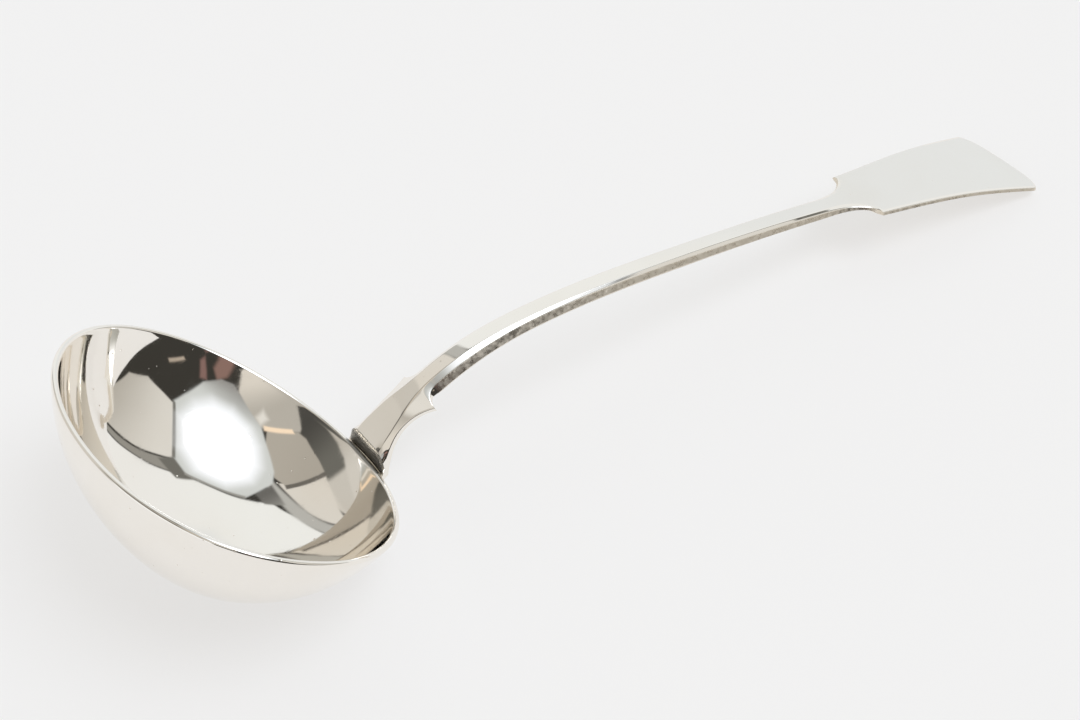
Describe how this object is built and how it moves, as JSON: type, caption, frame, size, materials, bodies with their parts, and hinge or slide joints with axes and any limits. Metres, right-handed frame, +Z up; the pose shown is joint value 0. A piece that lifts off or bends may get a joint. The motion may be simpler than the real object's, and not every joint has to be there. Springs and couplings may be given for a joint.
{
  "type": "soup ladle",
  "caption": "Polished silver soup ladle with a deep oval bowl and a long bevelled handle in the fiddle pattern, winged above the bowl and broad at its end.",
  "frame": {"origin": "on the table under the middle of the ladle's box, as it lies when put down", "axes": "+Z up from the table, +X along the handle from the bowl to the end, +Y across; the XZ plane is the plane of symmetry"},
  "size_m": [0.3316, 0.1046, 0.0616],
  "materials": {
    "bowl_silver": "polished silver, finely scratched and lightly pitted",
    "handle_silver": "polished silver with wear on the bevels",
    "solder_silver": "hard silver solder, duller than the sheet"
  },
  "bodies": {
    "root": {"bowl": "bowl_silver", "handle": "handle_silver", "solder_fillet": "solder_silver"}
  },
  "joints": []
}
